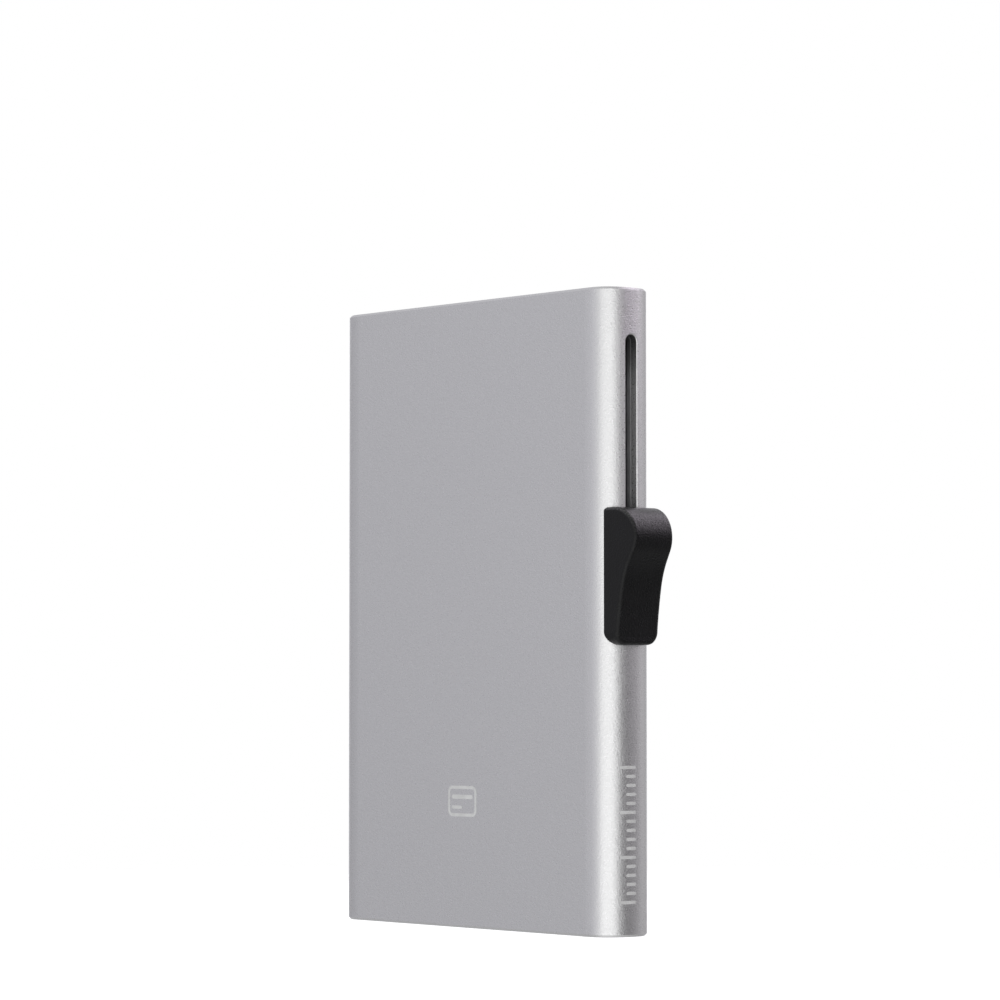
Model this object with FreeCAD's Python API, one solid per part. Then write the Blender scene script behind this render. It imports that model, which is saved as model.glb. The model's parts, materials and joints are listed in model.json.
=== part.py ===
"""Slim aluminium card case with a side thumb slider, built as an assembly of separate solids.

The case stands upright on its closed end. An extruded aluminium sleeve holds a moulded cage: two
side rails, two thin liners, a mouth frame and a bottom plug. The cards drop in through the mouth
and rest on the plug's ribs. The thumb slider runs along a slot in the narrow side. It snaps over a
base that is screwed through the slot to a carriage inside. The carriage carries a stepped lifter
under the cards, so that pushing the slider up raises them one after another and fans their edges.

Frame: millimetres, +Z up towards the mouth, +X towards the slider's side, -Y the front face.
The origin is the middle of the bottom face.
"""

import FreeCAD
import Part
import math
import os

V = FreeCAD.Vector
X_AXIS = V(1, 0, 0)
Z_AXIS = V(0, 0, 1)

# ---- driving dimensions: the sleeve -------------------------------------------------------------
CASE_HEIGHT = 98.0
CASE_WIDTH = 66.0
CASE_DEPTH = 10.2
END_REACH = 5.0  # the front and back curve over the last of the width into the narrow sides
END_POWER_X = 3.2  # the end is a superellipse, and 2 in both powers would make it an ellipse:
END_POWER_Y = 2.2  # a high X power leaves the flat faces gently, a low Y power rounds the side
WALL = 1.3
INNER_CORNER = 2.8
RIM_CHAMFER = 0.36
INNER_RIM_CHAMFER = 0.2

# ---- driving dimensions: the cards --------------------------------------------------------------
CARD_WIDTH = 53.98
CARD_HEIGHT = 85.6
CARD_COUNT = 6
CARD_SIDE_PLAY = 0.72
MOUTH_RECESS = 1.2  # a card's top edge lies this far below the rim

# ---- driving dimensions: the slider -------------------------------------------------------------
TRAVEL = 30.0
SLOT_WIDTH = 2.2
SLOT_TOP = 90.8
SLOT_EDGE_ROUND = 0.2
STEM_HEIGHT = 13.9
STEM_WIDTH = 2.0
SLOT_END_GAP = 0.2
KNOB_BOTTOM = 43.85
KNOB_TOP = 64.6
KNOB_HALF_WIDTH = 4.3
KNOB_DRAFT = 0.08  # each side leans in by this much per millimetre of height
KNOB_BOTTOM_CORNER = 1.9
KNOB_EDGE_ROUND = 0.6
KNOB_CLEARANCE = 0.15
LIP_HEIGHT = 5.12
LIP_RADIUS = 4.6
BASE_HEIGHT = 1.2  # the base under the slider stands this far out from the side
BASE_HALF_WIDTH = 2.2
BASE_MARGIN = 0.7  # it reaches this far beyond the stem at each end
SNAP_RIDGE_RADIUS = 0.2
SNAP_FIT = 0.03

# ---- driving dimensions: the moulded cage -------------------------------------------------------
POCKET_DEPTH = 5.4
LINER_GAP = 0.03
RAIL_RIGHT_WIDTH = 5.5
WEB = 1.0  # the right rail's wall between the sleeve and the carriage's channel
WEB_CHAMFER = 0.2
CHANNEL_DEPTH = 2.2
CHANNEL_HALF_WIDTH = 2.6
ARM_SLIT_HALF_WIDTH = 1.3
FRAME_BOTTOM = 93.4
FRAME_TOP = 97.4
FRAME_LEAD_IN = 0.5
PLUG_PLATE = 1.4
CAGE_FIT = 0.05
PEG_RADIUS = 0.8
PEG_LENGTH = 3.5

# ---- driving dimensions: carriage, lifter, springs, screws, felt --------------------------------
CARRIAGE_CLEARANCE = 0.1
CARRIAGE_TOP = 61.3
CARRIAGE_BOTTOM = 3.3
BUMPER_GAP = 0.1
STEM_SEAT = 0.4  # the stem's end sits this deep in the carriage
LIFTER_BOTTOM = 1.6
LIFTER_GAP = 0.2
LIFTER_DEPTH = 5.0
STEP_RISE = 1.55
LIFTER_LEFT = -22.5
LIFTER_RIGHT = 19.5
ARM_HALF_WIDTH = 1.15
ARM_TOP = 6.2
ROOT_TOP = 14.0
SCREW_RADIUS = 0.7
BASE_SCREW_LENGTH = 4.5
LIFTER_SCREW_LENGTH = 3.0
SCREW_HEAD_RADIUS = 1.15
SCREW_HEAD_HEIGHT = 0.7
SCREW_FIT = 0.03
COUNTERBORE_RADIUS = 1.3
COUNTERBORE_DEPTH = 0.8
BASE_SCREW_Z = (49.6, 57.8)
LIFTER_SCREW_Z = (5.2, 11.6)
SHOE_HALF_WIDTH = 1.2
SHOE_HEIGHT = 5.0
SHOE_TENON = 2.5  # how far the shoe is pressed into the lifter's left end
SHOE_TENON_HALF = 0.7
SHOE_REACH = 1.3  # how far the lifter's shoe runs inside the left rail
EDGE_SPRING_Z = 64.5
EDGE_SPRING_SPAN = 36.0
EDGE_SPRING_TAB = 3.0
EDGE_SPRING_WIDTH = 3.4
EDGE_SPRING_RECESS = 1.0
EDGE_SPRING_BOW = 1.15
EDGE_SPRING_SHEET = 0.25
BRAKE_SPRING_Z = 36.0
BRAKE_SPAN = 12.0
BRAKE_TAB = 1.5
BRAKE_WIDTH = 3.4
BRAKE_RECESS = 0.6
BRAKE_BOW = 0.53
BRAKE_SHEET = 0.15
FELT_LENGTH = 38.0
FELT_HEIGHT = 6.0
FELT_THICKNESS = 0.6
FELT_RECESS = 0.45
FELT_Z = 86.5

# ---- derived places -----------------------------------------------------------------------------
SIDE_X = CASE_WIDTH / 2
INNER_X = SIDE_X - WALL
INNER_Y = CASE_DEPTH / 2 - WALL
POCKET_Y = POCKET_DEPTH / 2
POCKET_RIGHT = INNER_X - RAIL_RIGHT_WIDTH
POCKET_LEFT = POCKET_RIGHT - CARD_WIDTH - CARD_SIDE_PLAY
POCKET_MIDDLE = (POCKET_LEFT + POCKET_RIGHT) / 2
CARD_FLOOR = CASE_HEIGHT - MOUTH_RECESS - CARD_HEIGHT
WEB_X = INNER_X - WEB
CHANNEL_FLOOR_X = WEB_X - CHANNEL_DEPTH
CARRIAGE_INNER_X = CHANNEL_FLOOR_X + CARRIAGE_CLEARANCE
CARRIAGE_OUTER_X = WEB_X - CARRIAGE_CLEARANCE
BASE_SCREW_SEAT_X = SIDE_X + BASE_HEIGHT - COUNTERBORE_DEPTH
STEM_TOP = SLOT_TOP - SLOT_END_GAP - TRAVEL
STEM_BOTTOM = STEM_TOP - STEM_HEIGHT
SLOT_BOTTOM = STEM_BOTTOM - SLOT_END_GAP
LIFTER_TOP = CARD_FLOOR - LIFTER_GAP


# ---- small helpers ------------------------------------------------------------------------------
def box(x0, x1, y0, y1, z0, z1):
    """A box between two corners."""
    return Part.makeBox(x1 - x0, y1 - y0, z1 - z0, V(x0, y0, z0))


def rod(radius, length, start, direction):
    """A round rod from start along direction."""
    return Part.makeCylinder(radius, length, start, direction)


def case_prism(z0, z1, grow=0.0):
    """The sleeve's outer outline as an upright prism: flat faces, joined at each narrow side by half
    a superellipse, which leaves them without a seam and bulges a little at the side itself."""
    half_x, half_y, reach = SIDE_X + grow, CASE_DEPTH / 2 + grow, END_REACH + grow
    steps = 24

    def end_curve(side):
        points = []
        for step in range(steps + 1):
            across = -math.cos(math.pi * step / steps)
            out = (1 - abs(across) ** END_POWER_Y) ** (1 / END_POWER_X)
            points.append(V(side * (half_x - reach + reach * out), half_y * across, z0))
        curve = Part.BSplineCurve()
        curve.interpolate(points, InitialTangent=V(side, 0, 0), FinalTangent=V(-side, 0, 0))
        return curve.toShape()

    right, left = end_curve(1), end_curve(-1)
    edges = [right, left]
    for y in (-half_y, half_y):
        edges.append(Part.LineSegment(V(reach - half_x, y, z0), V(half_x - reach, y, z0)).toShape())
    wire = Part.Wire(Part.__sortEdges__(edges))
    return Part.Face(wire).extrude(V(0, 0, z1 - z0))


def rounded_prism(half_x, half_y, radius, z0, z1):
    """An upright prism with round vertical corners, centred on the Z axis."""
    block = box(-half_x, half_x, -half_y, half_y, z0, z1)
    upright = [e for e in block.Edges if abs(e.tangentAt(e.FirstParameter).z) > 0.99]
    return block.makeFillet(radius, upright)


def obround(half_width, z0, z1, x0, x1):
    """A slot-shaped bar that runs along X, with round ends at z0 and z1."""
    bar = box(x0, x1, -half_width, half_width, z0 + half_width, z1 - half_width)
    for z in (z0 + half_width, z1 - half_width):
        bar = bar.fuse(rod(half_width, x1 - x0, V(x0, 0, z), X_AXIS))
    return bar.removeSplitter()


def edges_on(shape, test):
    """The edges whose two ends and middle all pass the test."""
    found = []
    for edge in shape.Edges:
        middle = edge.valueAt((edge.FirstParameter + edge.LastParameter) / 2)
        points = [middle] + [vertex.Point for vertex in edge.Vertexes]
        if all(test(p) for p in points):
            found.append(edge)
    return found


def cage_prism(z0, z1, fit=CAGE_FIT):
    """The sleeve's inner outline with the moulded parts' fit taken off, between two heights."""
    return rounded_prism(INNER_X - fit, INNER_Y - fit, INNER_CORNER - fit, z0, z1)


def bow_spring(span, height, thickness, width, tab):
    """A bowed leaf spring on the YZ plane: its flat tabs lie on x = 0 and it bows towards +X."""
    inner = ((span / 2) ** 2 + height**2) / (2 * height)
    centre = V(height - inner, 0, 0)
    outer_disc = rod(inner + thickness, width, centre + V(0, -width / 2, 0), V(0, 1, 0))
    inner_disc = rod(inner, width, centre + V(0, -width / 2, 0), V(0, 1, 0))
    window = box(0, height + 2 * thickness, -width, width, -span, span)
    spring = outer_disc.cut(inner_disc).common(window)
    for side in (-1, 1):
        z0, z1 = sorted((side * span / 2, side * (span / 2 + tab)))
        foot = box(0, thickness, -width / 2, width / 2, z0, z1)
        spring = spring.fuse(foot)
    return spring.removeSplitter()


def screw(start, direction, length):
    """A small pan-head screw: start is where the head meets the clamped part."""
    head = rod(SCREW_HEAD_RADIUS, SCREW_HEAD_HEIGHT, start, -direction)
    top = start - direction * SCREW_HEAD_HEIGHT
    rim = [e for e in head.Edges if e.Closed and (e.CenterOfMass - top).Length < 0.01]
    head = head.makeFillet(0.25, rim)
    tip = 0.5
    shank = rod(SCREW_RADIUS, length - tip, start, direction)
    point_start = start + direction * (length - tip)
    point = Part.makeCone(SCREW_RADIUS, SCREW_RADIUS * 0.4, tip, point_start, direction)
    body = head.fuse([shank, point])
    arm_length, arm_width, arm_depth = 1.3, 0.3, 0.4
    for y, z in ((arm_length, arm_width), (arm_width, arm_length)):
        cross = Part.makeBox(2 * arm_depth, y, z, top + V(-arm_depth, -y / 2, -z / 2))
        body = body.cut(cross)
    return body.removeSplitter()


# ---- the case's fixed parts ---------------------------------------------------------------------
def sleeve():
    """The extruded sleeve: open at both ends, with the slider's slot in its narrow right side."""
    shell = case_prism(0, CASE_HEIGHT)
    rims = edges_on(shell, lambda p: p.z < 0.01) + edges_on(shell, lambda p: p.z > CASE_HEIGHT - 0.01)
    shell = shell.makeChamfer(RIM_CHAMFER, rims)
    shell = shell.cut(rounded_prism(INNER_X, INNER_Y, INNER_CORNER, -1, CASE_HEIGHT + 1))

    def on_inner_rim(p):
        at_end = p.z < 0.01 or p.z > CASE_HEIGHT - 0.01
        return at_end and abs(p.x) < INNER_X + 0.01 and abs(p.y) < INNER_Y + 0.01

    shell = shell.makeChamfer(INNER_RIM_CHAMFER, edges_on(shell, on_inner_rim))
    shell = shell.cut(obround(SLOT_WIDTH / 2, SLOT_BOTTOM, SLOT_TOP, INNER_X - 1, SIDE_X + 1))
    mouth = edges_on(shell, lambda p: p.x > SIDE_X - 0.1 and abs(p.y) < SLOT_WIDTH / 2 + 0.01)
    return shell.makeFillet(SLOT_EDGE_ROUND, mouth)


def mouth_frame():
    """The moulded frame inside the mouth: it guides the cards and caps both rails."""
    frame = cage_prism(FRAME_BOTTOM, FRAME_TOP)
    window_y = POCKET_Y - 0.05
    window = box(POCKET_LEFT, POCKET_RIGHT, -window_y, window_y, FRAME_BOTTOM - 1, FRAME_TOP + 1)
    frame = frame.cut(window)

    def on_window(p):
        across = POCKET_LEFT - 0.01 < p.x < POCKET_RIGHT + 0.01 and abs(p.y) < window_y + 0.01
        return across and p.z > FRAME_TOP - 0.01

    frame = frame.makeChamfer(FRAME_LEAD_IN, edges_on(frame, on_window))
    for x in frame_pegs():
        frame = frame.fuse(rod(PEG_RADIUS, PEG_LENGTH, V(x, 0, FRAME_BOTTOM), -Z_AXIS))
    return frame.removeSplitter()


def frame_pegs():
    """Where the frame's two pegs enter the rails, one each side of the pocket."""
    return ((POCKET_LEFT - INNER_X) / 2, (POCKET_RIGHT + CHANNEL_FLOOR_X) / 2)


def bottom_plug():
    """The moulded plug that closes the bottom: a plate, and the ribs that the cards stand on."""
    plug = cage_prism(0, PLUG_PLATE)
    bottom = edges_on(plug, lambda p: p.z < 0.01)
    plug = plug.makeChamfer(0.25, bottom)
    for side in (-1, 1):
        y0, y1 = sorted((side * (SHOE_HALF_WIDTH + 0.2), side * (POCKET_Y - 0.1)))
        for x0, x1 in ((POCKET_LEFT + 0.1, LIFTER_LEFT - 1), (LIFTER_RIGHT + 1, POCKET_RIGHT - 0.1)):
            plug = plug.fuse(box(x0, x1, y0, y1, PLUG_PLATE, CARD_FLOOR))
    for catch in plug_catches(0):
        plug = plug.fuse(catch)
    return plug.removeSplitter()


def plug_catches(clearance):
    """The plug's snap catches, or with a clearance the notches that they click into."""
    catch_z, catch_height, reach = 5.0, 1.4, 0.45
    found = []
    for x_wall, side in ((POCKET_LEFT + 0.1, -1), (POCKET_RIGHT - 0.1, 1)):
        for y in (-1.9, 1.9):
            x0, x1 = sorted((x_wall - side * 0.2, x_wall + side * (reach + clearance)))
            half = 0.45 + clearance
            found.append(
                box(x0, x1, y - half, y + half, catch_z - clearance, catch_z + catch_height + clearance)
            )
    return found


def guide_rail():
    """The right rail: a closed channel for the carriage, with a slot of its own behind the sleeve's,
    and a slit towards the cards for the lifter's arm."""
    rail = cage_prism(PLUG_PLATE, FRAME_BOTTOM)
    rail = rail.common(box(POCKET_RIGHT, SIDE_X, -CASE_DEPTH, CASE_DEPTH, 0, CASE_HEIGHT))
    rail = rail.cut(obround(SLOT_WIDTH / 2, SLOT_BOTTOM, SLOT_TOP, WEB_X - 0.1, SIDE_X))
    slot_mouth = edges_on(rail, lambda p: p.x > INNER_X - 0.1 and abs(p.y) < SLOT_WIDTH / 2 + 0.01)
    rail = rail.makeChamfer(WEB_CHAMFER, slot_mouth)
    half = CHANNEL_HALF_WIDTH
    rail = rail.cut(box(CHANNEL_FLOOR_X, WEB_X, -half, half, 0, CASE_HEIGHT))
    half = ARM_SLIT_HALF_WIDTH
    slit_top = ROOT_TOP + TRAVEL + 0.3
    rail = rail.cut(box(POCKET_RIGHT - 1, CHANNEL_FLOOR_X + 1, -half, half, 0, slit_top))
    peg_x = frame_pegs()[1]
    rail = rail.cut(
        rod(PEG_RADIUS + CAGE_FIT, PEG_LENGTH + 0.3, V(peg_x, 0, FRAME_BOTTOM + 0.1), -Z_AXIS)
    )
    groove_radius, groove_depth = 0.6, 0.12
    for z in (BRAKE_SPRING_Z, BRAKE_SPRING_Z + TRAVEL):
        centre = V(CHANNEL_FLOOR_X + groove_radius - groove_depth, -half * 2, z)
        rail = rail.cut(rod(groove_radius, half * 4, centre, V(0, 1, 0)))
    for notch in plug_catches(0.08):
        rail = rail.cut(notch)
    return rail


def edge_rail():
    """The left rail: a moulded strip with a recess for the spring that grips the cards' edges."""
    rail = cage_prism(PLUG_PLATE, FRAME_BOTTOM)
    rail = rail.common(box(-SIDE_X, POCKET_LEFT, -CASE_DEPTH, CASE_DEPTH, 0, CASE_HEIGHT))
    peg_x = frame_pegs()[0]
    rail = rail.cut(
        rod(PEG_RADIUS + CAGE_FIT, PEG_LENGTH + 0.3, V(peg_x, 0, FRAME_BOTTOM + 0.1), -Z_AXIS)
    )
    recess = EDGE_SPRING_SPAN / 2 + EDGE_SPRING_TAB + 0.3
    half = EDGE_SPRING_WIDTH / 2 + 0.15
    z0, z1 = EDGE_SPRING_Z - recess, EDGE_SPRING_Z + recess
    rail = rail.cut(box(POCKET_LEFT - EDGE_SPRING_RECESS, POCKET_LEFT + 1, -half, half, z0, z1))
    half = SHOE_HALF_WIDTH + 0.1
    x0 = POCKET_LEFT - SHOE_REACH - 0.1
    groove_top = LIFTER_BOTTOM + SHOE_HEIGHT + TRAVEL + 0.3
    rail = rail.cut(box(x0, POCKET_LEFT + 1, -half, half, 0, groove_top))
    for notch in plug_catches(0.08):
        rail = rail.cut(notch)
    return rail


def edge_spring():
    """The bowed steel leaf on the left rail: it presses on the cards' long edges."""
    spring = bow_spring(
        EDGE_SPRING_SPAN, EDGE_SPRING_BOW, EDGE_SPRING_SHEET, EDGE_SPRING_WIDTH, EDGE_SPRING_TAB
    )
    spring.translate(V(POCKET_LEFT - EDGE_SPRING_RECESS, 0, EDGE_SPRING_Z))
    return spring


def liner(side):
    """A thin moulded liner on the front (-1) or rear (1) wall, with a recess for its felt strip."""
    y_wall, y_pocket = INNER_Y - CAGE_FIT, POCKET_Y
    y0, y1 = sorted((side * y_wall, side * y_pocket))
    x0, x1 = POCKET_LEFT + LINER_GAP, POCKET_RIGHT - LINER_GAP
    plate = box(x0, x1, y0, y1, PLUG_PLATE, FRAME_BOTTOM)
    recess = felt_block(FELT_LENGTH + 0.2, FELT_HEIGHT + 0.2, FELT_RECESS)
    recess.translate(V(POCKET_MIDDLE, side * (y_pocket + FELT_RECESS / 2), FELT_Z))
    return plate.cut(recess)


def felt_block(length, height, thickness):
    """A felt strip centred on the origin, flat on the XZ plane, with round ends."""
    radius = height / 2
    block = box(-length / 2 + radius, length / 2 - radius, -thickness / 2, thickness / 2, -radius, radius)
    for side in (-1, 1):
        start = V(side * (length / 2 - radius), -thickness / 2, 0)
        block = block.fuse(rod(radius, thickness, start, V(0, 1, 0)))
    return block.removeSplitter()


def felt_strip(side):
    """The felt strip in the front (-1) or rear (1) liner, which stops the cards rattling."""
    strip = felt_block(FELT_LENGTH, FELT_HEIGHT, FELT_THICKNESS)
    y = side * (POCKET_Y + FELT_RECESS - FELT_THICKNESS / 2)
    strip.translate(V(POCKET_MIDDLE, y, FELT_Z))
    return strip


# ---- the sliding parts --------------------------------------------------------------------------
def tangent_chain(point, heading, legs):
    """Edges in the XZ plane that flow on from point. A leg is ("line", length) or ("arc", radius,
    turn): heading and turn are in degrees, and a positive turn goes anticlockwise."""
    edges = []
    for leg in legs:
        along = V(math.cos(math.radians(heading)), 0, math.sin(math.radians(heading)))
        if leg[0] == "line":
            end = point + along * leg[1]
            edges.append(Part.LineSegment(point, end).toShape())
        else:
            radius, turn = leg[1], leg[2]
            side = 1 if turn > 0 else -1
            left = V(-along.z, 0, along.x)
            centre = point + left * (side * radius)

            def at(share):
                angle = math.radians(heading + turn * share - side * 90)
                return centre + V(math.cos(angle), 0, math.sin(angle)) * radius

            end = at(1.0)
            edges.append(Part.Arc(point, at(0.5), end).toShape())
            heading += turn
        point = end
    return edges, point


def knob_outline():
    """The thumb slider's side outline: a round lip on top, and a hollow ramp down to a thin foot."""
    root_x = SIDE_X - END_REACH
    lip_start = V(SIDE_X + LIP_HEIGHT - LIP_RADIUS, 0, KNOB_TOP)
    legs = [
        ("arc", LIP_RADIUS, -90.0),
        ("arc", LIP_RADIUS - 0.1, -29.0),
        ("line", 1.5),
        ("arc", 13.6, 18.0),
        ("arc", 70.0, 6.2),
    ]
    edges, end = tangent_chain(lip_start, 0.0, legs)
    foot = V(end.x, 0, KNOB_BOTTOM)
    corners = [end, foot, V(root_x, 0, KNOB_BOTTOM), V(root_x, 0, KNOB_TOP), lip_start]
    for a, b in zip(corners, corners[1:]):
        if (a - b).Length > 1e-6:
            edges.append(Part.LineSegment(a, b).toShape())
    return Part.Wire(Part.__sortEdges__(edges))


def knob_footprint(x):
    """The thumb slider's outline seen from the side, at distance x: its sides lean inwards."""
    half = KNOB_HALF_WIDTH - KNOB_DRAFT * (x - SIDE_X)
    radius = KNOB_BOTTOM_CORNER
    bend = radius * math.sqrt(0.5)
    top = KNOB_TOP + 1

    def corner(side):
        centre = V(x, side * (half - radius), KNOB_BOTTOM + radius)
        points = centre + V(0, side * radius, 0), centre + V(0, side * bend, -bend)
        return Part.Arc(*points, centre + V(0, 0, -radius)).toShape()

    def line(y0, z0, y1, z1):
        return Part.LineSegment(V(x, y0, z0), V(x, y1, z1)).toShape()

    low = KNOB_BOTTOM + radius
    edges = [
        line(-half, top, half, top),
        line(half, top, half, low),
        corner(1),
        line(half - radius, KNOB_BOTTOM, radius - half, KNOB_BOTTOM),
        corner(-1),
        line(-half, low, -half, top),
    ]
    return Part.Wire(Part.__sortEdges__(edges))


def thumb_slider():
    """The thumb slider: a saddle on the case's round side with a lip to push, hollow for its base."""
    face = Part.Face(knob_outline())
    swept = face.extrude(V(0, CASE_DEPTH * 2, 0))
    swept.translate(V(0, -CASE_DEPTH, 0))
    x0, x1 = SIDE_X - END_REACH - 1, SIDE_X + LIP_HEIGHT + 1
    taper = Part.makeLoft([knob_footprint(x0), knob_footprint(x1)], True, True)
    knob = swept.common(taper).removeSplitter()
    knob = knob.makeFillet(KNOB_EDGE_ROUND, outline_edges(knob))
    knob = knob.cut(case_prism(KNOB_BOTTOM - 5, KNOB_TOP + 5, KNOB_CLEARANCE))
    return knob.cut(base_block(SNAP_FIT))


def base_block(grow):
    """The base's plate with a snap ridge along each side, before the saddle is cut out of it."""
    half = BASE_HALF_WIDTH + grow
    z0, z1 = STEM_BOTTOM - BASE_MARGIN - grow, STEM_TOP + BASE_MARGIN + grow
    outer_x = SIDE_X + BASE_HEIGHT + grow
    block = box(SIDE_X - WALL, outer_x, -half, half, z0, z1)
    ridge_x, ridge_length = SIDE_X + BASE_HEIGHT / 2, STEM_HEIGHT / 2
    for side in (-1, 1):
        start = V(ridge_x, side * half, (z0 + z1 - ridge_length) / 2 - grow)
        block = block.fuse(rod(SNAP_RIDGE_RADIUS, ridge_length + 2 * grow, start, Z_AXIS))
    return block.removeSplitter()


def slider_base():
    """The base under the thumb slider: a saddle plate with a stem through the slot and two screws."""
    base = base_block(0)
    base = base.cut(case_prism(KNOB_BOTTOM - 5, KNOB_TOP + 5, KNOB_CLEARANCE))
    stem_end = CARRIAGE_OUTER_X - STEM_SEAT
    stem = obround(STEM_WIDTH / 2, STEM_BOTTOM, STEM_TOP, stem_end, SIDE_X + KNOB_CLEARANCE + 0.3)
    base = base.fuse(stem).removeSplitter()
    for z in BASE_SCREW_Z:
        seat = V(BASE_SCREW_SEAT_X, 0, z)
        base = base.cut(rod(COUNTERBORE_RADIUS, COUNTERBORE_DEPTH + 1, seat, X_AXIS))
        base = base.cut(rod(SCREW_RADIUS + SCREW_FIT, 5, seat, -X_AXIS))
    return base


def outline_edges(knob):
    """The sharp edges around the slider's outer surface, where it meets its sides and its foot."""
    found = []
    for edge in knob.Edges:
        point = edge.valueAt((edge.FirstParameter + edge.LastParameter) / 2)
        normals = []
        for face in knob.ancestorsOfType(edge, Part.Face):
            normals.append(face.normalAt(*face.Surface.parameter(point)))
        outer = [abs(n.y) < 0.001 and (n.x > 0.05 or n.z > 0.9) for n in normals]
        if sum(outer) == 1 and normals[0].getAngle(normals[1]) > 0.2:
            found.append(edge)
    return found


def carriage():
    """The bar that runs in the right rail's channel and joins the slider to the lifter."""
    half = CHANNEL_HALF_WIDTH - CARRIAGE_CLEARANCE
    bar = box(CARRIAGE_INNER_X, CARRIAGE_OUTER_X, -half, half, CARRIAGE_BOTTOM, CARRIAGE_TOP)
    bar = bar.makeFillet(0.3, edges_on(bar, lambda p: abs(p.z - CARRIAGE_TOP) < 0.01))
    seat_x, fit = CARRIAGE_OUTER_X - STEM_SEAT, 0.04
    bar = bar.cut(obround(STEM_WIDTH / 2 + fit, STEM_BOTTOM - fit, STEM_TOP + fit, seat_x, SIDE_X))
    for z in BASE_SCREW_Z:
        bar = bar.cut(rod(SCREW_RADIUS + SCREW_FIT, 5, V(SIDE_X, 0, z), -X_AXIS))
    for z in LIFTER_SCREW_Z:
        start = V(CARRIAGE_OUTER_X + 1, 0, z)
        bar = bar.cut(rod(COUNTERBORE_RADIUS, COUNTERBORE_DEPTH + 1, start, -X_AXIS))
        bar = bar.cut(rod(SCREW_RADIUS + SCREW_FIT, 5, start, -X_AXIS))
    reach = BRAKE_SPAN / 2 + BRAKE_TAB + 0.2
    x1 = CARRIAGE_INNER_X + BRAKE_RECESS
    width = BRAKE_WIDTH / 2 + 0.1
    z0, z1 = BRAKE_SPRING_Z - reach, BRAKE_SPRING_Z + reach
    return bar.cut(box(CARRIAGE_INNER_X - 1, x1, -width, width, z0, z1))


def brake_spring():
    """The small leaf in the carriage: it rubs on the channel's floor and clicks into its grooves."""
    spring = bow_spring(BRAKE_SPAN, BRAKE_BOW, BRAKE_SHEET, BRAKE_WIDTH, BRAKE_TAB)
    spring.rotate(V(0, 0, 0), Z_AXIS, 180)
    spring.translate(V(CARRIAGE_INNER_X + BRAKE_RECESS, 0, BRAKE_SPRING_Z))
    return spring


def card_lifter():
    """The stepped lifter: one step under each card, the highest at the rear, on an arm."""
    step_depth = LIFTER_DEPTH / CARD_COUNT
    y = LIFTER_DEPTH / 2
    top = LIFTER_TOP
    points = [V(0, -y, LIFTER_BOTTOM), V(0, y, LIFTER_BOTTOM), V(0, y, top)]
    for step in range(1, CARD_COUNT):
        edge = y - step * step_depth
        points += [V(0, edge, top), V(0, edge, top - STEP_RISE)]
        top -= STEP_RISE
    points += [V(0, -y, top), points[0]]
    stairs = Part.Face(Part.makePolygon(points)).extrude(V(LIFTER_RIGHT - LIFTER_LEFT, 0, 0))
    stairs.translate(V(LIFTER_LEFT, 0, 0))
    half = ARM_HALF_WIDTH
    arm = box(LIFTER_RIGHT - 1, CARRIAGE_INNER_X, -half, half, LIFTER_BOTTOM, ARM_TOP)
    root = box(POCKET_RIGHT + 0.1, CARRIAGE_INNER_X, -half, half, LIFTER_BOTTOM, ROOT_TOP)
    lifter = stairs.fuse([arm, root])
    tenon = SHOE_TENON + 0.1
    half = SHOE_TENON_HALF + 0.02
    z0, z1 = LIFTER_BOTTOM + 1.2, LIFTER_BOTTOM + SHOE_HEIGHT - 1.2
    lifter = lifter.cut(box(LIFTER_LEFT - 1, LIFTER_LEFT + tenon, -half, half, z0 - 0.02, z1 + 0.02))
    for z in LIFTER_SCREW_Z:
        start = V(CARRIAGE_OUTER_X - COUNTERBORE_DEPTH, 0, z)
        lifter = lifter.cut(rod(SCREW_RADIUS + SCREW_FIT, LIFTER_SCREW_LENGTH + 0.1, start, -X_AXIS))
    return lifter.removeSplitter()


def lifter_shoe():
    """The slippery shoe on the lifter's left end: it runs in the left rail's groove."""
    half = SHOE_HALF_WIDTH
    z0, z1 = LIFTER_BOTTOM, LIFTER_BOTTOM + SHOE_HEIGHT
    shoe = box(POCKET_LEFT - SHOE_REACH, LIFTER_LEFT, -half, half, z0, z1)
    shoe = shoe.makeFillet(0.5, edges_on(shoe, lambda p: p.x < POCKET_LEFT - SHOE_REACH + 0.01))
    half = SHOE_TENON_HALF
    tenon = box(LIFTER_LEFT - 0.5, LIFTER_LEFT + SHOE_TENON, -half, half, z0 + 1.2, z1 - 1.2)
    return shoe.fuse(tenon).removeSplitter()


def bumper(z0, z1):
    """A soft pad across the right rail's channel, at one end of the carriage's travel."""
    half = CHANNEL_HALF_WIDTH - 0.05
    return box(CARRIAGE_INNER_X + 0.3, WEB_X - 0.05, -half, half, z0, z1)


def base_screw(z):
    """A screw from outside, through the slider's base and its stem, into the carriage."""
    return screw(V(BASE_SCREW_SEAT_X, 0, z), -X_AXIS, BASE_SCREW_LENGTH)


def lifter_screw(z):
    """A screw through the carriage, from the sleeve's side, into the lifter's root."""
    return screw(V(CARRIAGE_OUTER_X - COUNTERBORE_DEPTH, 0, z), -X_AXIS, LIFTER_SCREW_LENGTH)


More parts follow.
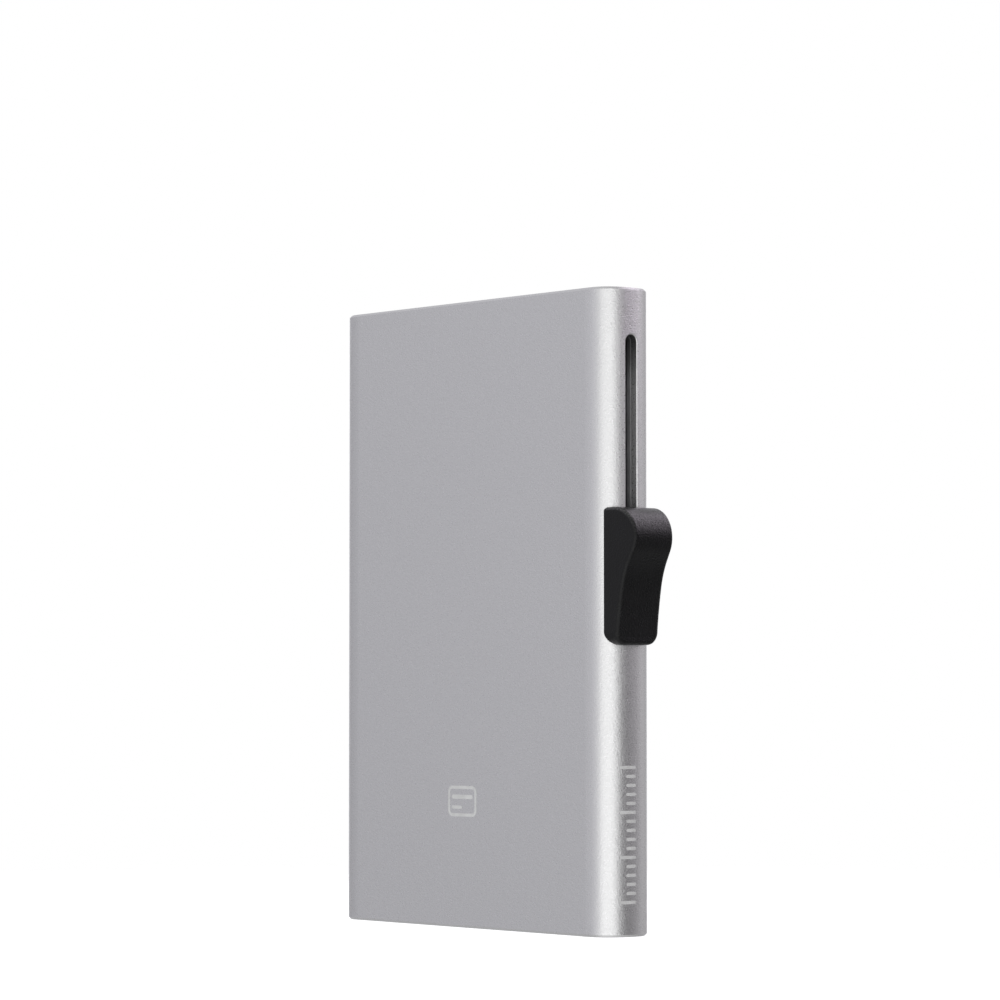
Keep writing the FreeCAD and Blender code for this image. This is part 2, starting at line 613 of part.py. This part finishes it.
def build():
    """Every sub-part by its node name."""
    return {
        "sleeve": sleeve(),
        "mouth_frame": mouth_frame(),
        "bottom_plug": bottom_plug(),
        "guide_rail": guide_rail(),
        "edge_rail": edge_rail(),
        "edge_spring": edge_spring(),
        "lower_bumper": bumper(PLUG_PLATE, CARRIAGE_BOTTOM - BUMPER_GAP),
        "upper_bumper": bumper(CARRIAGE_TOP + TRAVEL + BUMPER_GAP, FRAME_BOTTOM),
        "front_liner": liner(-1),
        "rear_liner": liner(1),
        "front_felt": felt_strip(-1),
        "rear_felt": felt_strip(1),
        "thumb_slider": thumb_slider(),
        "slider_base": slider_base(),
        "carriage": carriage(),
        "brake_spring": brake_spring(),
        "card_lifter": card_lifter(),
        "lifter_shoe": lifter_shoe(),
        "base_screw_lower": base_screw(BASE_SCREW_Z[0]),
        "base_screw_upper": base_screw(BASE_SCREW_Z[1]),
        "lifter_screw_lower": lifter_screw(LIFTER_SCREW_Z[0]),
        "lifter_screw_upper": lifter_screw(LIFTER_SCREW_Z[1]),
    }


os.makedirs("parts", exist_ok=True)
for name, shape in build().items():
    box_size = shape.BoundBox
    print(
        f"{name:20s} solids {len(shape.Solids)} valid {shape.isValid()} volume {shape.Volume:9.2f}"
        f"  x {box_size.XMin:7.2f} {box_size.XMax:7.2f}  y {box_size.YMin:6.2f} {box_size.YMax:6.2f}"
        f"  z {box_size.ZMin:6.2f} {box_size.ZMax:6.2f}"
    )
    shape.exportStep(f"parts/{name}.step")
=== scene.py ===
"""Looks for a slim aluminium card case with a black thumb slider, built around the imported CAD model.

Everything is in metres, in the CAD's own frame: +Z up towards the mouth, +X towards the slider's side
and -Y the front face. The CAD parts keep their shapes. This script gives every part its material, adds
the etched marks, and sets up a pale floor, soft studio light and the camera.
"""

import bmesh
import bpy
import json
import math
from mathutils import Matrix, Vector
from mathutils.bvhtree import BVHTree


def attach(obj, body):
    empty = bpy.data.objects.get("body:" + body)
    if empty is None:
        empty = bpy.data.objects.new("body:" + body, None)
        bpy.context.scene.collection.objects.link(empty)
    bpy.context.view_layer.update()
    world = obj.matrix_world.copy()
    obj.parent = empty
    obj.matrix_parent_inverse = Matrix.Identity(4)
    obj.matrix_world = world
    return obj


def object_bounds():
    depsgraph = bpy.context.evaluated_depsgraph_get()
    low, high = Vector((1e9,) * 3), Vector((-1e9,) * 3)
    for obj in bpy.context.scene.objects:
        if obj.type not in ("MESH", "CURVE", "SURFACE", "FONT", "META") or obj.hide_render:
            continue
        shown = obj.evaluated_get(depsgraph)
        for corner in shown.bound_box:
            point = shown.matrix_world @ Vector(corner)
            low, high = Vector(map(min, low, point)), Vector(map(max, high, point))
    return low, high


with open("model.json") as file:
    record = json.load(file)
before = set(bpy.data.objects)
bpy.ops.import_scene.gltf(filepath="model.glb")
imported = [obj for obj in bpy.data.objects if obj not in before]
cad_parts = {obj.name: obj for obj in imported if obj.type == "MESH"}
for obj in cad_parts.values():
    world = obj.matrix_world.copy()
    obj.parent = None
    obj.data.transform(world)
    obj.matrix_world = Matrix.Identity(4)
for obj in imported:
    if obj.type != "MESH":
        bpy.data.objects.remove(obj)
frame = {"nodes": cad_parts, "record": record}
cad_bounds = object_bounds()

MM = 0.001
NODES = frame["nodes"]

# ---- etched marks, on the sleeve ----------------------------------------------------------------
MARK_PROUD = 0.012 * MM
MARK_DEPTH = 0.03 * MM
MARK_STEP = 0.15 * MM  # the longest side of a mark's faces
WELD_DISTANCE = 0.0005 * MM
STROKE = 0.5 * MM
STROKE_END_STEPS = 5  # steps round half of a stroke's end
CORNER_STEPS = 8
CARD_SIGN_PLACE = (-1.3 * MM, 19.7 * MM)  # across the front and up from the bottom
CARD_SIGN_SIZE = (7.0 * MM, 4.8 * MM)
CARD_SIGN_CORNER = 0.8 * MM
CARD_SIGN_MARGIN = 0.9 * MM  # between the sign's outside and the two lines in it
CARD_STRIPE_STROKE = 0.65 * MM
CARD_STRIPE_RISE = 0.14  # above the sign's middle, as a share of its height
CARD_NOTE_DROP = 0.2  # below the middle
TICK_MIDDLE_Y = -0.75 * MM
TICK_BOTTOM_Z = 5.2 * MM
TICK_SPACING = 1.35 * MM
TICK_COUNT = 16
TICKS_PER_LONG_TICK = 5
LONG_TICK = 3.0 * MM
SHORT_TICK = 1.9 * MM

# ---- slider, from its moulded faces to the upward ones that the thumb rubs ----------------------
SLIDER_SPECULAR = 0.19
RUBBED_SPECULAR = 0.9  # on average, because it varies from spot to spot
MOST_RUBBED = 1.2  # the largest shine that rubbing can add
RUBBED_FROM, RUBBED_TO = 0.1, 0.7  # upward part of the faces' direction
SPECKLE_LOW, SPECKLE_HIGH = 0.3, 1.7

# ---- the sleeve's slot, for its milled walls, the rail behind it and the painted shade at its top end ---
SLOT_BOTTOM_END = (30.4 * MM, 0.0, 47.6 * MM)  # middle of its round bottom end, behind the wall
SLOT_TOP_END = (33.6 * MM, 0.0, 89.7 * MM)  # middle of its round top end, in front of the wall
SLOT_REACH = 1.13 * MM  # half its width, and a little of its rounded edges
SLOT_WALL_METALLIC = 0.72
SLOT_TOP = 90.8 * MM
# Painted shade: the slot's walls and the rail behind them are darkened towards the slot's top end, where
# shade falls in the recess.
SLOT_PAINTED_SHADE_START = 83.0 * MM  # above this height painted shade darkens the walls and the rail behind them
SLOT_TOP_PAINTED_SHADE = 0.15

# ---- camera -------------------------------------------------------------------------------------
CAMERA_AZIMUTH = math.radians(50.372)
CAMERA_PITCH = math.radians(2.685)
CAMERA_PLACE = Vector((0.47939, -0.39550, 0.03779))
CAMERA_LENS = 142.25  # millimetres, as is the sensor
CAMERA_SENSOR = 36

# ---- light --------------------------------------------------------------------------------------
BACKDROP_WHITE = 1.0
NEUTRAL = (1.0, 1.0, 1.0)
COOL = (0.99, 0.98, 1.05)
ROSE = (1.0, 0.89, 1.03)
# Broad glows in the surround: azimuth (0 in front, 90 on the slider's side), elevation and spread in
# degrees, then radiance and tint. The gap between the right ones and the rear ones shapes the dark
# stripe on the narrow side.
SURROUND_GLOWS = (
    (-125, 0, 22, 0.70, COOL),  # rear left wall, for the left edge
    (-90, 42, 22, 0.34, COOL),  # upper left, for the front's top edge
    (-75, 8, 33, 0.25, COOL),  # left wall
    (-30, 12, 23, 0.63, COOL),  # front wall
    (0, 90, 32, 0.80, NEUTRAL),  # ceiling
    (0, -90, 35, 1.10, NEUTRAL),  # the pale table below
    (20, 32, 23, 0.42, NEUTRAL),  # key, high in front
    (20, -25, 23, 1.46, NEUTRAL),  # the pale table in front
    (45, 0, 20, 0.75, NEUTRAL),  # key, low
    (72, 0, 15, 1.26, NEUTRAL),  # right wall
    (88, -5, 11.5, 0.66, NEUTRAL),  # right wall's edge
    (150, 28, 20, 0.44, ROSE),  # rear right, high
    (162, 5, 16.5, 0.54, NEUTRAL),  # rear right
    (215, 2, 22, 0.38, NEUTRAL),  # rear, for the right edge
)
# Soft boxes close by: name, azimuth, elevation, distance, width, height and radiance.
SOFTBOXES = (
    ("right_near", 115, 24, 0.45, 0.20, 0.12, 0.96),  # for the top of the narrow side
    ("rear_right_near", 140, 24, 0.45, 0.20, 0.12, 1.44),  # the same
    ("rear_top", 172, 43, 1.0, 0.6, 0.5, 1.3),  # for the glint on the rim and on the slider's lip
)
SOFTBOX_AIM = Vector((0, 0, 50 * MM))

# ---- floor --------------------------------------------------------------------------------------
FLOOR_SIZE = 880 * MM
FLOOR_DROP = 0.02 * MM  # keeps the floor's face off the case's bottom face
FLOOR_WHITE = 0.93
FLOOR_GLOW = 0.62  # lifts the floor to the surround's white
FLOOR_FADE_START = 40 * MM  # from the middle of the case's bottom
FLOOR_FADE_END = 220 * MM


def direction(azimuth, elevation):
    """The direction from the object towards a light, from its azimuth and elevation in degrees."""
    a = math.radians(azimuth)
    e = math.radians(elevation)
    return Vector((math.sin(a) * math.cos(e), -math.cos(a) * math.cos(e), math.sin(e)))


# ---- node helpers -------------------------------------------------------------------------------
NOISE_LOW, NOISE_HIGH = 0.3, 0.7  # nearly all of a noise's values lie between these


class Material:
    """A material with one Principled shader, and short calls for the nodes that this script needs."""

    def __init__(self, name, colour, metallic, roughness, specular=0.5):
        self.name = name
        self.material = bpy.data.materials.new(name)
        self.material.use_nodes = True
        self.tree = self.material.node_tree
        self.shader = self.tree.nodes["Principled BSDF"]
        self.shader.inputs["Base Color"].default_value = (*colour, 1)
        self.shader.inputs["Metallic"].default_value = metallic
        self.shader.inputs["Roughness"].default_value = roughness
        self.shader.inputs["Specular IOR Level"].default_value = specular
        self.place = self.tree.nodes.new("ShaderNodeTexCoord").outputs["Object"]
        self.bump = None

    def node(self, kind, **values):
        """A new node: a keyword sets the input of that name, or else the property of that name."""
        made = self.tree.nodes.new(kind)
        for key, value in values.items():
            if key[0].isupper():
                made.inputs[key.replace("_", " ")].default_value = value
            else:
                setattr(made, key, value)
        return made

    def link(self, source, target):
        """Joins an output to an input."""
        self.tree.links.new(source, target)

    def noise(self, size, detail=2.0, stretch=(1, 1, 1), roughness=0.5):
        """A noise whose features are about size metres across, longer where stretch is larger."""
        scale = tuple(1 / s for s in stretch)
        mapping = self.node("ShaderNodeMapping", Scale=scale)
        texture = self.node("ShaderNodeTexNoise", Scale=1 / size, Detail=detail, Roughness=roughness)
        self.link(self.place, mapping.inputs["Vector"])
        self.link(mapping.outputs["Vector"], texture.inputs["Vector"])
        return texture.outputs["Fac"]

    def pits(self, size):
        """Distance to the nearest of many scattered points: rounded pits about size metres apart."""
        texture = self.node("ShaderNodeTexVoronoi", Scale=1 / size)
        self.link(self.place, texture.inputs["Vector"])
        return texture.outputs["Distance"]

    def inside_slot(self):
        """1 on the walls of the sleeve's slot, which has round ends, and 0 elsewhere."""
        above = self.node("ShaderNodeVectorMath", operation="MAXIMUM")
        above.inputs[1].default_value = SLOT_BOTTOM_END
        self.link(self.place, above.inputs[0])
        nearest = self.node("ShaderNodeVectorMath", operation="MINIMUM")
        nearest.inputs[1].default_value = SLOT_TOP_END
        self.link(above.outputs["Vector"], nearest.inputs[0])
        away = self.node("ShaderNodeVectorMath", operation="DISTANCE")
        self.link(self.place, away.inputs[0])
        self.link(nearest.outputs["Vector"], away.inputs[1])
        inside = self.node("ShaderNodeMath", operation="LESS_THAN")
        self.link(away.outputs["Value"], inside.inputs[0])
        inside.inputs[1].default_value = SLOT_REACH
        return inside.outputs[0]

    def height_between(self, low, high):
        """0 up to one height, rising to 1 at the other."""
        split = self.node("ShaderNodeSeparateXYZ")
        self.link(self.place, split.inputs[0])
        return self.spread(split.outputs["Z"], 0.0, 1.0, low, high)

    def scale_colour(self, factor):
        """Multiplies the colour by a factor."""
        scale = self.node("ShaderNodeVectorMath", operation="SCALE")
        colour = self.shader.inputs["Base Color"]
        self.link(colour.links[0].from_socket, scale.inputs[0])
        self.link(factor, scale.inputs["Scale"])
        self.link(scale.outputs["Vector"], colour)

    def product(self, a, b):
        """One value times another."""
        times = self.node("ShaderNodeMath", operation="MULTIPLY")
        self.link(a, times.inputs[0])
        self.link(b, times.inputs[1])
        return times.outputs[0]

    def spread(self, source, low, high, start=NOISE_LOW, end=NOISE_HIGH):
        """Maps a value from the range start..end, by default a noise's, to the range low..high."""
        ranged = self.node("ShaderNodeMapRange", From_Min=start, From_Max=end, To_Min=low, To_Max=high)
        self.link(source, ranged.inputs["Value"])
        return ranged.outputs["Result"]

    def vary_colour(self, source, dark, light):
        """Lets a noise move the colour between two tones."""
        ramp = self.node("ShaderNodeValToRGB")
        first, last = ramp.color_ramp.elements
        first.position = NOISE_LOW
        first.color = (*dark, 1)
        last.position = NOISE_HIGH
        last.color = (*light, 1)
        self.link(source, ramp.inputs["Fac"])
        self.link(ramp.outputs["Color"], self.shader.inputs["Base Color"])

    def vary_roughness(self, source, low, high):
        """Lets a noise move the roughness between two values."""
        self.link(self.spread(source, low, high), self.shader.inputs["Roughness"])

    def raise_by(self, source, height):
        """Adds a bump of the given height in metres; calls stack."""
        bump = self.node("ShaderNodeBump", Distance=height, Strength=1.0)
        self.link(source, bump.inputs["Height"])
        if self.bump:
            self.link(self.bump, bump.inputs["Normal"])
        self.bump = bump.outputs["Normal"]
        self.link(self.bump, self.shader.inputs["Normal"])


# ---- materials ----------------------------------------------------------------------------------
def anodised_aluminium():
    """Bead-blasted, clear-anodised aluminium: a fine sparkling satin, dull on the slot's milled walls,
    with painted shade on those walls near the slot's top end.
    """
    m = Material("anodised_aluminium", (0.55, 0.55, 0.553), 1.0, 0.3)
    m.vary_colour(m.noise(0.25 * MM, 3), (0.53, 0.53, 0.533), (0.57, 0.57, 0.573))
    m.vary_roughness(m.noise(0.26 * MM, 2), 0.26, 0.34)
    m.raise_by(m.noise(0.22 * MM, 2, roughness=0.6), 0.046 * MM)
    walls = m.inside_slot()
    m.link(m.spread(walls, 1.0, SLOT_WALL_METALLIC, 0, 1), m.shader.inputs["Metallic"])
    # painted shade: the slot's walls darken towards its top end, where shade falls in the recess
    painted_shade_near_top = m.product(walls, m.height_between(SLOT_PAINTED_SHADE_START, SLOT_TOP))
    m.scale_colour(m.spread(painted_shade_near_top, 1.0, SLOT_TOP_PAINTED_SHADE, 0, 1))
    return m


def etched_mark():
    """The laser-etched marks: the same metal, paler and flatter."""
    m = Material("etched_mark", (0.50, 0.505, 0.50), 0.2, 0.8)
    m.vary_colour(m.noise(1.5 * MM, 3), (0.47, 0.475, 0.47), (0.54, 0.545, 0.54))
    m.raise_by(m.noise(0.1 * MM, 2), 0.006 * MM)
    return m


def moulded_plastic(name, colour, roughness, grain, depth, specular=0.4):
    """Moulded plastic with a spark-eroded grain and faint flow marks."""
    m = Material(name, colour, 0.0, roughness, specular)
    dark = tuple(0.8 * c for c in colour)
    light = tuple(1.25 * c for c in colour)
    m.vary_colour(m.noise(4 * MM, 4), dark, light)
    m.vary_roughness(m.noise(2.5 * MM, 3), roughness - 0.05, roughness + 0.06)
    m.raise_by(m.pits(grain), depth)
    m.raise_by(m.noise(grain * 0.6, 3), depth * 0.8)
    return m


def rail_plastic():
    """The rails' grey plastic, with painted shade darkening it behind the slot's top end."""
    m = moulded_plastic("rail_plastic", (0.22, 0.22, 0.225), 0.5, 0.2 * MM, 0.01 * MM)
    # painted shade: the rail darkens towards the slot's top end, where shade falls in the recess
    m.scale_colour(m.spread(m.height_between(SLOT_PAINTED_SHADE_START, SLOT_TOP), 1.0, SLOT_TOP_PAINTED_SHADE, 0, 1))
    return m


def slider_plastic():
    """The slider's black plastic, with a soft shine where it faces up and the thumb rubs it."""
    black = (0.002, 0.002, 0.0024)
    m = moulded_plastic("slider_plastic", black, 0.3, 0.24 * MM, 0.04 * MM, SLIDER_SPECULAR)
    split = m.node("ShaderNodeSeparateXYZ")
    m.link(m.node("ShaderNodeNewGeometry").outputs["True Normal"], split.inputs[0])
    added = RUBBED_SPECULAR - SLIDER_SPECULAR
    rubbed = m.spread(split.outputs["Z"], 0.0, added, RUBBED_FROM, RUBBED_TO)
    speckled = m.product(rubbed, m.spread(m.noise(0.2 * MM, 1), SPECKLE_LOW, SPECKLE_HIGH))
    shine = m.spread(speckled, SLIDER_SPECULAR, SLIDER_SPECULAR + MOST_RUBBED, 0, MOST_RUBBED)
    m.link(shine, m.shader.inputs["Specular IOR Level"])
    return m


def rolled_steel(name, colour, roughness, stretch):
    """Bright steel with fine drawing lines along one direction and a few faint stains."""
    m = Material(name, colour, 1.0, roughness)
    m.vary_colour(m.noise(1.2 * MM, 3), tuple(0.85 * c for c in colour), colour)
    m.vary_roughness(m.noise(0.5 * MM, 3, stretch), roughness - 0.07, roughness + 0.1)
    m.raise_by(m.noise(0.05 * MM, 2, stretch), 0.001 * MM)
    return m


def soft_rubber():
    """Soft black elastomer with a dusty bloom."""
    m = Material("bumper_rubber", (0.03, 0.03, 0.03), 0.0, 0.75, 0.3)
    m.vary_colour(m.noise(0.8 * MM, 4), (0.02, 0.02, 0.02), (0.05, 0.05, 0.048))
    m.raise_by(m.noise(0.12 * MM, 3), 0.01 * MM)
    return m


def wool_felt():
    """Dense black felt: matted fibres with a soft sheen."""
    m = Material("felt", (0.02, 0.02, 0.022), 0.0, 0.95, 0.1)
    m.shader.inputs["Sheen Weight"].default_value = 0.5
    m.shader.inputs["Sheen Roughness"].default_value = 0.4
    m.vary_colour(m.noise(0.25 * MM, 4, (3, 1, 1)), (0.012, 0.012, 0.013), (0.045, 0.045, 0.048))
    m.raise_by(m.noise(0.12 * MM, 4, (2, 1, 1)), 0.12 * MM)
    m.raise_by(m.noise(1.5 * MM, 3), 0.1 * MM)
    return m


def slot_materials():
    """The material of each of the record's slots: plastics by colour, roughness, grain and its depth."""
    made = [
        anodised_aluminium(),
        moulded_plastic("cage_plastic", (0.022, 0.022, 0.023), 0.5, 0.16 * MM, 0.012 * MM),
        rail_plastic(),
        moulded_plastic("liner_plastic", (0.018, 0.018, 0.019), 0.6, 0.2 * MM, 0.016 * MM),
        slider_plastic(),
        moulded_plastic("carriage_plastic", (0.03, 0.03, 0.032), 0.42, 0.3 * MM, 0.008 * MM),
        moulded_plastic("shoe_plastic", (0.68, 0.67, 0.62), 0.4, 0.3 * MM, 0.006 * MM),
        rolled_steel("spring_steel", (0.6, 0.6, 0.59), 0.28, (1, 1, 12)),
        rolled_steel("screw_steel", (0.56, 0.56, 0.57), 0.34, (1, 1, 1)),
        soft_rubber(),
        wool_felt(),
    ]
    return {m.name: m.material for m in made}


def finish_cad_parts():
    """Gives every CAD part the material of its slot."""
    materials = slot_materials()
    for part in frame["record"]["subparts"]:
        piece = NODES[part["node"]]
        piece.data.materials.clear()
        piece.data.materials.append(materials[part["material_slot"]])


# ---- etched marks -------------------------------------------------------------------------------
def bar(start, end, width):
    """A straight stroke with round ends, as points along it, each with the stroke's half width."""
    start = Vector(start)
    end = Vector(end)
    half = width / 2
    length = (end - start).length
    along = (end - start).normalized()
    bends = [half * math.sin(math.pi / 2 * k / STROKE_END_STEPS) for k in range(STROKE_END_STEPS + 1)]
    steps = math.ceil((length - 2 * half) / MARK_STEP)
    distances = [half - b for b in reversed(bends)]
    distances += [half + (length - 2 * half) * k / steps for k in range(1, steps)]
    distances += [length - half + b for b in bends]
    stroke = []
    for d in distances:
        inset = max(half - d, d - (length - half), 0)
        stroke.append((start + along * d, math.sqrt(max(half * half - inset * inset, 0))))
    return stroke


def rounded_loop(middle, size, corner, width):
    """A closed stroke round a rectangle with round corners, as points with the half width."""
    stroke = []
    for quarter, (sx, sz) in enumerate(((1, 1), (-1, 1), (-1, -1), (1, -1))):
        centre = Vector((middle[0] + sx * (size[0] / 2 - corner), middle[1] + sz * (size[1] / 2 - corner)))
        for k in range(CORNER_STEPS + 1):
            angle = math.pi / 2 * (quarter + k / CORNER_STEPS)
            stroke.append((centre + corner * Vector((math.cos(angle), math.sin(angle))), width / 2))
    return stroke


def add_stroke(mesh, stroke, surface, closed):
    """Adds one stroke as a thin closed ribbon that lies in the surface and stands slightly proud."""
    count = len(stroke)
    across_steps = max(2, math.ceil(2 * max(half for point, half in stroke) / MARK_STEP))
    rows = []
    for i, (point, half) in enumerate(stroke):
        before = stroke[(i - 1) % count][0] if closed or i else point
        after = stroke[(i + 1) % count][0] if closed or i < count - 1 else point
        along = (after - before).normalized()
        across = Vector((-along.y, along.x))
        row = []
        for j in range(across_steps + 1):
            place = point + across * half * (2 * j / across_steps - 1)
            row.append([mesh.verts.new(surface(place, lift)) for lift in (MARK_PROUD, -MARK_DEPTH)])
        rows.append(row)
    last = count if closed else count - 1
    for i in range(last):
        low, high = rows[i], rows[(i + 1) % count]
        for j in range(across_steps):
            mesh.faces.new((low[j][0], low[j + 1][0], high[j + 1][0], high[j][0]))
            mesh.faces.new((low[j][1], high[j][1], high[j + 1][1], low[j + 1][1]))
        for j in (0, across_steps):
            mesh.faces.new((low[j][0], high[j][0], high[j][1], low[j][1]))
    if not closed:
        for row in (rows[0], rows[-1]):
            for j in range(across_steps):
                mesh.faces.new((row[j][0], row[j][1], row[j + 1][1], row[j + 1][0]))


def etched(name, strokes, surface, material):
    """One etched piece on the case, made of separate thin closed strokes."""
    mesh = bmesh.new()
    for stroke, closed in strokes:
        add_stroke(mesh, stroke, surface, closed)
    bmesh.ops.remove_doubles(mesh, verts=mesh.verts, dist=WELD_DISTANCE)
    bmesh.ops.recalc_face_normals(mesh, faces=mesh.faces)
    data = bpy.data.meshes.new(name)
    mesh.to_mesh(data)
    mesh.free()
    data.materials.append(material)
    piece = bpy.data.objects.new(name, data)
    bpy.context.scene.collection.objects.link(piece)
    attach(piece, "case")


def front_surface(place, lift):
    """A point on the flat front: place is across and up, and lift is out of the surface."""
    return Vector((place[0], cad_bounds[0][1] - lift, place[1]))


def side_surface_of(sleeve):
    """A function that gives points on the sleeve's narrow right side: place is y and z."""
    corners = [v.co for v in sleeve.data.vertices]
    skin = BVHTree.FromPolygons(corners, [p.vertices for p in sleeve.data.polygons])
    outside = cad_bounds[1][0] + 10 * MM
    inwards = Vector((-1, 0, 0))

    def surface(place, lift):
        point, normal = skin.ray_cast(Vector((outside, *place)), inwards)[:2]
        return point + normal * lift

    return surface


def card_sign(material):
    """A plain outline of a card with two lines in it, low on the front."""
    x, z = CARD_SIGN_PLACE
    width, height = CARD_SIGN_SIZE
    left = x - width / 2 + CARD_SIGN_MARGIN
    right = x + width / 2 - CARD_SIGN_MARGIN
    stripe_z = z + CARD_STRIPE_RISE * height
    note_z = z - CARD_NOTE_DROP * height
    outline = rounded_loop((x, z), (width - STROKE, height - STROKE), CARD_SIGN_CORNER, STROKE)
    strokes = [
        (outline, True),
        (bar((left, stripe_z), (right, stripe_z), CARD_STRIPE_STROKE), False),
        (bar((left, note_z), (x, note_z), STROKE), False),
    ]
    etched("etched_card_sign", strokes, front_surface, material)


def side_ticks(material):
    """A row of ticks up the narrow side, every fifth one longer."""
    strokes = []
    for k in range(TICK_COUNT):
        length = LONG_TICK if k % TICKS_PER_LONG_TICK == 0 else SHORT_TICK
        z = TICK_BOTTOM_Z + k * TICK_SPACING
        rear_y = TICK_MIDDLE_Y + LONG_TICK / 2
        strokes.append((bar((rear_y - length, z), (rear_y, z), STROKE), False))
    etched("etched_side_ticks", strokes, side_surface_of(NODES["sleeve"]), material)


def etched_marks():
    """Plain generic marks, both in the same tone."""
    material = etched_mark().material
    card_sign(material)
    side_ticks(material)


# ---- stage, light and camera --------------------------------------------------------------------
def pale_floor():
    """A matte floor, almost white, that fades into the surround with no horizon line. It takes shadows,
    but the object sees through it, because its glare would wash out the case's lower edge."""
    bpy.ops.mesh.primitive_plane_add(size=FLOOR_SIZE, location=(0, 0, -FLOOR_DROP))
    floor = bpy.context.object
    floor.name = "floor"
    m = Material("pale_floor", (FLOOR_WHITE, FLOOR_WHITE, FLOOR_WHITE), 0.0, 0.7, 0.2)
    m.shader.inputs["Emission Color"].default_value = (1, 1, 1, 1)
    m.shader.inputs["Emission Strength"].default_value = FLOOR_GLOW
    distance = m.node("ShaderNodeVectorMath", operation="LENGTH")
    m.link(m.place, distance.inputs[0])
    fade = m.node("ShaderNodeMapRange", interpolation_type="SMOOTHSTEP")
    fade.inputs["From Min"].default_value = FLOOR_FADE_START
    fade.inputs["From Max"].default_value = FLOOR_FADE_END
    m.link(distance.outputs["Value"], fade.inputs["Value"])
    clear = m.node("ShaderNodeBsdfTransparent")
    mix = m.node("ShaderNodeMixShader")
    m.link(fade.outputs["Result"], mix.inputs["Fac"])
    m.link(m.shader.outputs["BSDF"], mix.inputs[1])
    m.link(clear.outputs["BSDF"], mix.inputs[2])
    m.link(mix.outputs["Shader"], m.tree.nodes["Material Output"].inputs["Surface"])
    floor.data.materials.append(m.material)
    floor.visible_glossy = False
    floor.visible_diffuse = False
    floor.visible_shadow = False


def softbox(name, azimuth, elevation, distance, width, height, brightness):
    """A rose area light aimed at the object. brightness is the radiance of its face."""
    light = bpy.data.lights.new(name, "AREA")
    light.shape = "RECTANGLE"
    light.size = width
    light.size_y = height
    light.color = ROSE
    light.energy = brightness * math.pi * width * height
    lamp = bpy.data.objects.new(name, light)
    away = direction(azimuth, elevation)
    lamp.location = SOFTBOX_AIM + away * distance
    lamp.rotation_euler = away.to_track_quat("Z", "Y").to_euler()
    lamp.visible_camera = False
    bpy.context.scene.collection.objects.link(lamp)


def glow_shape(tree, looking, azimuth, elevation, spread):
    """Nodes for one broad glow in the surround: 1 at its middle, fading like a bell curve."""
    towards = tree.nodes.new("ShaderNodeVectorMath")
    towards.operation = "DOT_PRODUCT"
    towards.inputs[1].default_value = direction(azimuth, elevation)
    tree.links.new(looking, towards.inputs[0])
    sharpness = 1 / math.radians(spread) ** 2
    fall = tree.nodes.new("ShaderNodeMath")
    fall.operation = "MULTIPLY_ADD"
    fall.inputs[1].default_value = sharpness
    fall.inputs[2].default_value = -sharpness
    tree.links.new(towards.outputs["Value"], fall.inputs[0])
    bell = tree.nodes.new("ShaderNodeMath")
    bell.operation = "EXPONENT"
    tree.links.new(fall.outputs["Value"], bell.inputs[0])
    return bell.outputs["Value"]


def studio_world():
    """A soft surround of broad glows that lights the object, and plain white where the camera sees it."""
    world = bpy.data.worlds.new("studio")
    bpy.context.scene.world = world
    world.use_nodes = True
    tree = world.node_tree
    unit = tree.nodes.new("ShaderNodeVectorMath")
    unit.operation = "NORMALIZE"
    tree.links.new(tree.nodes.new("ShaderNodeTexCoord").outputs["Generated"], unit.inputs[0])
    total = None
    for azimuth, elevation, spread, brightness, tint in SURROUND_GLOWS:
        add = tree.nodes.new("ShaderNodeVectorMath")
        add.operation = "MULTIPLY_ADD"
        add.inputs[1].default_value = [brightness * t for t in tint]
        add.inputs[2].default_value = (0, 0, 0)
        shape = glow_shape(tree, unit.outputs["Vector"], azimuth, elevation, spread)
        tree.links.new(shape, add.inputs[0])
        if total:
            tree.links.new(total, add.inputs[2])
        total = add.outputs["Vector"]
    glow = tree.nodes["Background"]
    tree.links.new(total, glow.inputs["Color"])
    white = tree.nodes.new("ShaderNodeBackground")
    white.inputs["Color"].default_value = (1, 1, 1, 1)
    white.inputs["Strength"].default_value = BACKDROP_WHITE
    path = tree.nodes.new("ShaderNodeLightPath")
    mix = tree.nodes.new("ShaderNodeMixShader")
    tree.links.new(path.outputs["Is Camera Ray"], mix.inputs["Fac"])
    tree.links.new(glow.outputs["Background"], mix.inputs[1])
    tree.links.new(white.outputs["Background"], mix.inputs[2])
    tree.links.new(mix.outputs["Shader"], tree.nodes["World Output"].inputs["Surface"])


def studio_light():
    """All the soft boxes."""
    for values in SOFTBOXES:
        softbox(*values)


def camera():
    """The camera: a long lens, a little below the middle of the object and tilted slightly up."""
    data = bpy.data.cameras.new("camera")
    data.lens = CAMERA_LENS
    data.sensor_width = CAMERA_SENSOR
    data.clip_start = 10 * MM
    seen_from = bpy.data.objects.new("camera", data)
    seen_from.location = CAMERA_PLACE
    seen_from.rotation_euler = (math.pi / 2 + CAMERA_PITCH, 0, CAMERA_AZIMUTH)
    bpy.context.scene.collection.objects.link(seen_from)
    bpy.context.scene.camera = seen_from


finish_cad_parts()
etched_marks()
pale_floor()
studio_world()
studio_light()
camera()
bpy.context.scene.view_settings.view_transform = "Standard"
